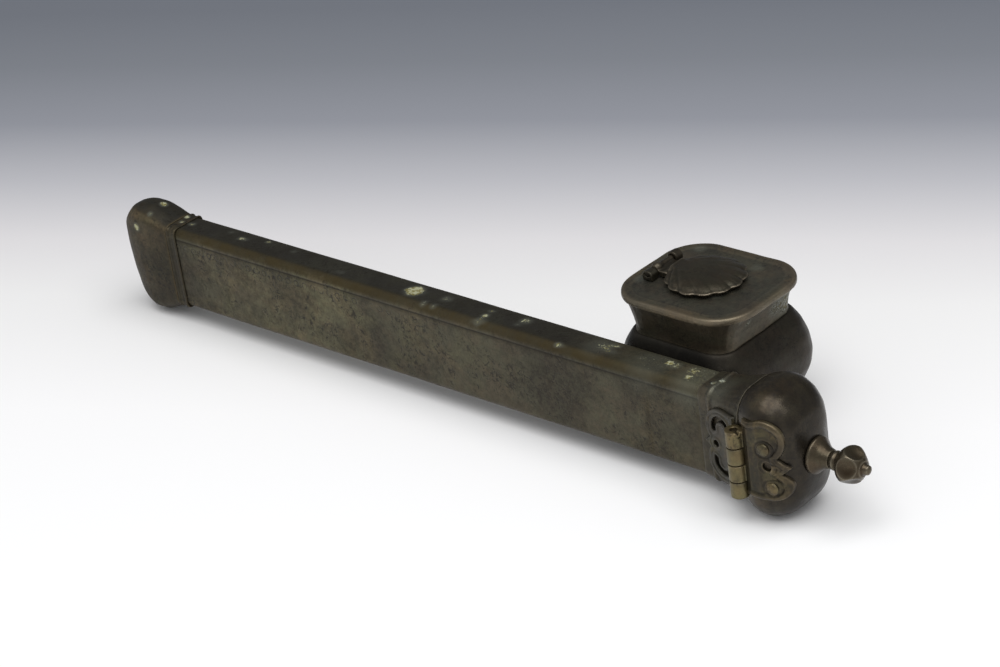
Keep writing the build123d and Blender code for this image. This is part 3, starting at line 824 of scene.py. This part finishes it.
cap_leaf = worn_copy("cap_hinge_leaf", grain=0.00015, rounds=5)
swell_lobe(cap_leaf, place=rivet_places[0], heading=lobe_heading, growth=0.4)
sink_rings(cap_leaf)
open_curl(cap_leaf)
raise_rim(cap_leaf, height=0.00045, width=0.0019)
mark_wear(cap_leaf, rounds=16, strength=9000.0)
tone_knuckles(cap_leaf)
leaf_brass = old_brass("leaf_brass", metal=0.75, relief=0.00005, Patina=(0.031, 0.026, 0.019),
                       Tint=(0.168, 0.135, 0.073), Dark=(0.018, 0.015, 0.012), Rubbed=(0.2, 0.155, 0.095),
                       Crust=(0.42, 0.42, 0.3), Blotch=0.5, Etching=0.6, Dullness=0.36)
finish_piece(cap_leaf, "cap", leaf_brass)
barrel_leaf = worn_copy("barrel_hinge_leaf", grain=0.00015, rounds=12)
raise_rim(barrel_leaf, height=0.0002, width=0.0012)
mark_wear(barrel_leaf, rounds=16, strength=6000.0)
tone_knuckles(barrel_leaf)
grey_brass = old_brass("grey_leaf_brass", metal=0.75, relief=0.00005, Patina=(0.05, 0.046, 0.04),
                       Tint=(0.168, 0.135, 0.073), Dark=(0.018, 0.017, 0.014), Rubbed=(0.12, 0.11, 0.095),
                       Crust=(0.42, 0.42, 0.3), Blotch=0.6, Etching=0.6, Dullness=0.4)
finish_piece(barrel_leaf, "case", grey_brass)
head_flattening = 0.3
rivet_tone = 0.45
rivets = worn_copy("cap_leaf_rivets", grain=0.00014, rounds=8)
points = read_points(rivets)
in_front = points[:, 1] < leaf_face_y
points[:, 1] += np.where(in_front, head_flattening * (leaf_face_y - points[:, 1]), 0)
move_points(rivets, points)
mark_wear(rivets, rounds=10, strength=9000.0)
keep_layer(rivets, "tone", np.full(len(points), rivet_tone))
finish_piece(rivets, "cap", leaf_brass)
pin_sunk_by = 0.0007
hinge_pin = worn_copy("cap_hinge_pin", grain=0.00014, rounds=3)
points = read_points(hinge_pin)
sunk_top = knuckle_top - pin_sunk_by
points[:, 2] -= np.where(points[:, 2] > sunk_top, 0.95 * (points[:, 2] - sunk_top), 0)
move_points(hinge_pin, points)
finish_piece(hinge_pin, "case", leaf_brass)

# Finial
# A turned cup and a knob are riveted to the cap's end. Round the bead's front half five
# hollows are filed, which leaves soft ridges between them, and a small ball ends it.
bead_middle = np.array((0.06903, -0.0303, 0.01971))
bead_radius = 0.00555
bead_half_length = 0.0042
dish_turns = np.radians(161.0 + 72.0 * np.arange(5))
dish_lean = math.radians(17.0)
dish_reach = math.radians(33.5)
dish_depth = 0.00115
core_radius = 0.0023
core_ease = 0.0007
neck_place = 0.0641
neck_spread = 0.0009
finial_knob = worn_copy("finial_knob", grain=0.00015, rounds=6)
points = read_points(finial_knob)
from_middle = points - bead_middle
reach = np.linalg.norm(from_middle, axis=1)
headings = from_middle / reach[:, None]
off_axis = np.hypot(from_middle[:, 1], from_middle[:, 2])
skin = np.clip((off_axis - core_radius) / core_ease, 0, 1) * (np.abs(from_middle[:, 0]) < bead_half_length)
lengthwise = (headings[:, 0] / bead_half_length) ** 2
crosswise = (1 - headings[:, 0] ** 2) / bead_radius ** 2
rounded = 1 / np.sqrt(lengthwise + crosswise)
hollowed = np.zeros(len(points))
for turn in dish_turns:
    outward = np.array((math.sin(dish_lean), math.cos(dish_lean) * math.cos(turn),
                        math.cos(dish_lean) * math.sin(turn)))
    away_by = np.arccos(np.clip(headings @ outward, -1, 1))
    hollowed = np.maximum(hollowed, dish_depth * (1 - (away_by / dish_reach) ** 2))
points += headings * ((rounded - hollowed - reach) * skin)[:, None]
thicker = 0.22 * np.exp(-((points[:, 0] - neck_place) / neck_spread) ** 2)
points[:, 1:] += (points[:, 1:] - bead_middle[1:]) * thicker[:, None]
move_points(finial_knob, points)
rub_down(finial_knob, rounds=3)
mark_wear(finial_knob, rounds=30, strength=9000.0)
# Painted shade: the hollows that face down or sideways are darkened; the top one is left as it is.
shaded = np.clip(1 - 2 * headings[:, 2], 0, 1)
keep_layer(finial_knob, "tone", -skin * shaded * np.clip(2.2 * hollowed / dish_depth - 0.5, 0, 1))
knob_brass = old_brass("knob_brass", metal=0.8, relief=0.00004, Patina=(0.07, 0.056, 0.04),
                       Tint=(0.09, 0.076, 0.055), Grime=(0.034, 0.022, 0.011), Dark=(0.034, 0.023, 0.013),
                       Rubbed=(0.24, 0.21, 0.155), Crust=(0.42, 0.42, 0.3), Blotch=0.55, Etching=0.6,
                       Dullness=0.27)
finish_piece(finial_knob, "cap", knob_brass)
finial_socket = worn_copy("finial_socket", grain=0.00018, rounds=8)
mark_wear(finial_socket, rounds=14, strength=6000.0)
finish_piece(finial_socket, "cap", knob_brass)

# Inkwell: base, pot, saddle and neck
# The pot is a casting, closed from below by a flat disc and soldered to the tube through a
# saddle. A cove rises from its shoulder to the plate. Its brass is painted the darkest of the
# case, and its front and shoulder darker still, as painted shade under the plate.
pot = worn_copy("inkwell_body", grain=0.00055, rounds=24)
dent(pot, depth=0.0004, width=0.015)
mark_wear(pot, rounds=20, strength=2500.0)
normals = read_points(pot, "normal")
# Painted shade: the front and the shoulder under the plate are darkened.
front_left = np.clip(0.35 - normals[:, 1] - 0.5 * normals[:, 0], 0, 1)
shade_under_plate = front_left * np.clip(normals[:, 2] + 0.4, 0, 1)
keep_layer(pot, "tone", -0.9 * shade_under_plate)
pot_brass = old_brass("pot_brass", metal=0.72, relief=0.00006, Patina=(0.032, 0.027, 0.022),
                      Tint=(0.04, 0.034, 0.027), Grime=(0.005, 0.005, 0.004), Dark=(0.012, 0.01, 0.008),
                      Rubbed=(0.07, 0.061, 0.048), Crust=(0.26, 0.26, 0.24), Blotch=0.8, Etching=0.7,
                      Dullness=0.42)
pot_brass.node_tree.nodes["Principled BSDF"].inputs["Specular IOR Level"].default_value = 0.25
finish_piece(pot, "case", pot_brass)
skirt_height = 0.0022
skirt_ease = 0.0018
skirt_drop = 0.0016
skirt_narrowing = 0.012
neck = worn_copy("inkwell_neck", grain=0.0004, rounds=6)
points = read_points(neck)
waist_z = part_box("inkwell_neck")[0].z
low_part = np.clip((waist_z + skirt_height - points[:, 2]) / skirt_ease, 0, 1)
points[:, :2] -= points[:, :2] * (skirt_narrowing * low_part)[:, None]
points[:, 2] -= skirt_drop * low_part
move_points(neck, points)
dent(neck, depth=0.0003, width=0.01)
mark_wear(neck, rounds=14, strength=4000.0)
neck_crusts = ((786, 300, 0.005, 0.62), (778, 305, 0.004, 0.55), (791, 294, 0.004, 0.7),
               (748, 323, 0.0012, 0.6), (741, 321, 0.0009, 0.6))
crust_over(neck, neck_crusts)
neck_brass = old_brass("neck_brass", metal=0.72, relief=0.00006, Patina=(0.095, 0.08, 0.06),
                       Tint=(0.1, 0.088, 0.07), Dark=(0.03, 0.027, 0.021), Rubbed=(0.14, 0.125, 0.1),
                       Crust=(0.3, 0.3, 0.27), Blotch=0.75, Etching=0.7, Dullness=0.42)
finish_piece(neck, "case", neck_brass)
pot_base = worn_copy("inkwell_base", grain=0.0004, rounds=3)
finish_piece(pot_base, "case", pot_brass)
saddle = worn_copy("inkwell_saddle", grain=0.0004, rounds=3)
finish_piece(saddle, "case", pot_brass)

# Top plate
# A thick plate with rounded corners is soldered on the neck round the ink hole. Its rim
# is rubbed pale by hands, and the flat of it is dull.
plate = worn_copy("inkwell_top_plate", grain=0.0003, rounds=8)
plate_low, plate_high = (np.array(corner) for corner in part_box("inkwell_top_plate"))
plate_corner = 0.0124
face_tolerance = 0.0004
border_inset = 0.0031
border_width = 0.0006
border_depth = 0.00016
rim_tone = 0.6
rim_inset = 0.0012
rim_ease = 0.003
points = read_points(plate)
past = np.abs(points[:, :2] - (plate_low + plate_high)[:2] / 2)
past = past - (plate_high - plate_low)[:2] / 2 + plate_corner
inset = plate_corner - np.linalg.norm(np.maximum(past, 0), axis=1) - np.minimum(past.max(1), 0)
upper = points[:, 2] > plate_high[2] - face_tolerance
sunk = border_depth * np.clip((inset - border_inset) / border_width, 0, 1)
points[:, 2] -= np.where(upper, sunk, 0)
move_points(plate, points)
face_tone = rim_tone - rim_tone * np.clip((inset - rim_inset) / rim_ease, 0, 1)
keep_layer(plate, "tone", np.where(upper, face_tone, rim_tone) - 0.1)
dent(plate, depth=0.00025, width=0.012)
mark_wear(plate, rounds=30, strength=4500.0)
plate_crusts = ((716, 296, 0.0018, 0.42), (724, 292, 0.0012, 0.5), (700, 249, 0.002, 0.4),
                (757, 268, 0.002, 0.35), (640, 279, 0.002, 0.35))
crust_over(plate, plate_crusts)
plate_brass = old_brass("plate_brass", metal=0.72, relief=0.00006, Patina=(0.105, 0.097, 0.08),
                        Tint=(0.14, 0.112, 0.075), Dark=(0.03, 0.028, 0.024), Rubbed=(0.22, 0.18, 0.125),
                        Crust=(0.36, 0.37, 0.3), Blotch=0.8, Etching=0.7, Dullness=0.44)
finish_piece(plate, "case", plate_brass)

# Ink lid and its hinge
# A cast scallop shell with a tongue that turns on a pin between two rolled ears. Its
# ribs are worn nearly flat in the middle and stand out as lobes along the rim.
lid_axis_x = -0.0156
lid_axis_z = 0.0467
shell_middle_x = -0.0006
shell_top = 0.04845
crown_z = 0.0484
rim_top = 0.0459
tongue_x = -0.0132
tongue_ease = 0.0034
rib_gain = 4.5
crown_share = 0.62
rim_start = 0.6
rim_drop = 0.0016
undercut_share = 0.045
undercut_x = -0.0108
undercut_ease = 0.003
bearing_step = 2
bearing_count = 180
ink_lid = worn_copy("ink_lid", grain=0.00017, rounds=7)
mark_wear(ink_lid, rounds=60, strength=1.0)
ripple = np.empty(len(ink_lid.data.vertices))
ink_lid.data.attributes["wear"].data.foreach_get("value", ripple)
points = read_points(ink_lid)
normals = read_points(ink_lid, "normal")
from_middle = points[:, :2] - (shell_middle_x, 0)
reach = np.linalg.norm(from_middle, axis=1)
past_tongue = np.clip((points[:, 0] - tongue_x) / tongue_ease, 0, 1)
outer = np.clip((reach - 0.004) / 0.005, 0, 1) * past_tongue
points += normals * (rib_gain * ripple * outer * (normals[:, 2] > 0.3))[:, None]
raised = np.clip((points[:, 2] - rim_top) / 0.0003, 0, 1) * past_tongue
points[:, 2] += raised * (shell_top - (crown_z - points[:, 2]) * crown_share - points[:, 2])
bearing = np.degrees(np.arctan2(from_middle[:, 1], from_middle[:, 0]))
bearing = np.round(bearing / bearing_step).astype(int) % bearing_count
outline = np.zeros(bearing_count)
np.maximum.at(outline, bearing, reach)
over_rim = np.clip((reach / outline[bearing] - rim_start) / 0.4, 0, 1)
points[:, 2] -= raised * rim_drop * (1 - np.sqrt(1 - over_rim ** 2))
undercut = undercut_share * np.clip((rim_top - points[:, 2]) / 0.0005, 0, 1)
undercut = undercut * np.clip((points[:, 0] - undercut_x) / undercut_ease, 0, 1)
points[:, :2] -= from_middle * undercut[:, None]
knuckle_reach = 0.0019
front_ear_y = -0.0036
middle_spread = 0.0013
across = points[:, 0] - lid_axis_x
upright = points[:, 2] - lid_axis_z
off_middle = 1 - np.exp(-((points[:, 1] - front_ear_y) / middle_spread) ** 2)
thinner = 0.42 * (np.hypot(across, upright) < knuckle_reach) * off_middle
points[:, 0] -= across * thinner
points[:, 2] -= upright * thinner
points[:, 2] = np.minimum(points[:, 2], shell_top)
move_points(ink_lid, points)
rub_down(ink_lid, rounds=14)
mark_wear(ink_lid, rounds=30, strength=9000.0)
lid_brass = old_brass("lid_brass", metal=0.75, relief=0.00005, Patina=(0.056, 0.048, 0.036),
                      Tint=(0.064, 0.052, 0.038), Dark=(0.018, 0.016, 0.012), Rubbed=(0.15, 0.125, 0.09),
                      Crust=(0.42, 0.42, 0.3), Blotch=0.55, Etching=0.5, Dullness=0.33)
finish_piece(ink_lid, "ink_lid", lid_brass)
front_ear_z = 0.0456
front_ear_flattening = 0.3
lid_ears = worn_copy("lid_hinge_ears", grain=0.00014, rounds=30)
points = read_points(lid_ears)
lowered = front_ear_flattening * np.clip(points[:, 2] - front_ear_z, 0, None)
points[:, 2] -= np.where(points[:, 1] < 0, lowered, 0)
move_points(lid_ears, points)
mark_wear(lid_ears, rounds=12, strength=6000.0)
finish_piece(lid_ears, "case", lid_brass)
lid_pin = worn_copy("lid_hinge_pin", grain=0.00012, rounds=3)
finish_piece(lid_pin, "case", leaf_brass)

bpy.context.scene.view_settings.view_transform = "Standard"
